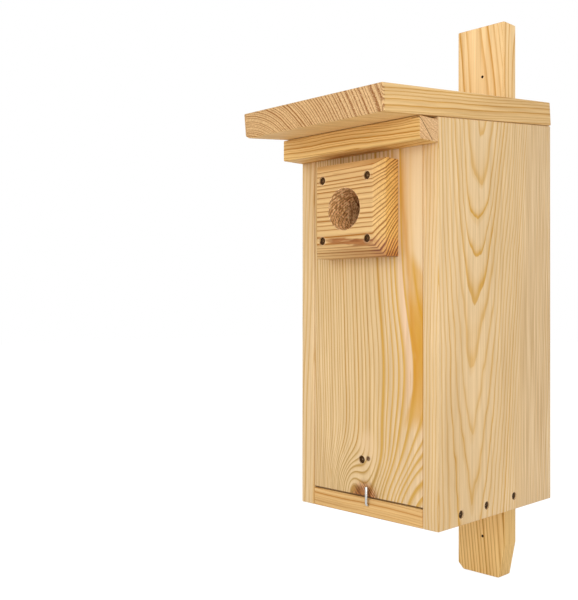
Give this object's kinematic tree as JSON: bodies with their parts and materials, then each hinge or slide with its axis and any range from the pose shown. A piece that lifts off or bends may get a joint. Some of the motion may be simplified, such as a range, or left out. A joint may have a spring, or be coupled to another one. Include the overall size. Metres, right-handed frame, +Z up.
{
  "type": "bird nest box",
  "caption": "Tall wooden nest box with an overhanging sloping roof, a bevelled block round its entrance hole, a loose front behind a turning hook, and a long hanging slat.",
  "frame": {"origin": "on the back face of the hanging slat, on its centre line, level with the underside of the box", "axes": "+Y into the wall or tree the slat hangs on, so the entrance faces -Y; +Z up along the slat; +X to the right seen from the front"},
  "size_m": [0.192, 0.3341, 0.68],
  "materials": {
    "pine_side": "planed, bare",
    "pine_front": "planed, bare",
    "pine_back": "planed, bare",
    "pine_block": "planed, bare",
    "pine_roof": "planed, bare",
    "pine_batten": "planed, bare",
    "pine_slat": "planed, bare",
    "pine_stop": "sawn, bare",
    "screw_steel": "dark phosphate",
    "nail_steel": "bright",
    "hook_wire": "zinc plated"
  },
  "bodies": {
    "box": {"left_side": "pine_side", "right_side": "pine_side", "back_panel": "pine_back", "floor_board": "pine_back", "roof_board": "pine_roof", "front_batten": "pine_batten", "mounting_slat": "pine_slat", "left_stop": "pine_stop", "right_stop": "pine_stop", "roof_screws": "screw_steel", "left_floor_screws": "screw_steel", "right_floor_screws": "screw_steel", "back_screws": "screw_steel", "slat_screws": "screw_steel", "stop_nails": "nail_steel"},
    "front": {"front_panel": "pine_front", "entrance_block": "pine_block", "block_screws": "screw_steel", "pull_screw": "screw_steel"},
    "latch": {"latch_hook": "hook_wire"}
  },
  "joints": [
    {"name": "front_lift", "type": "slide", "parent": "box", "child": "front", "axis": [0, 0, 1], "range_m": [0, 0.009]},
    {"name": "latch_turn", "type": "hinge", "parent": "box", "child": "latch", "pos_m": [0.004, -0.246, 0.0124], "axis": [0, -1, 0], "range_deg": [-90, 90]}
  ]
}
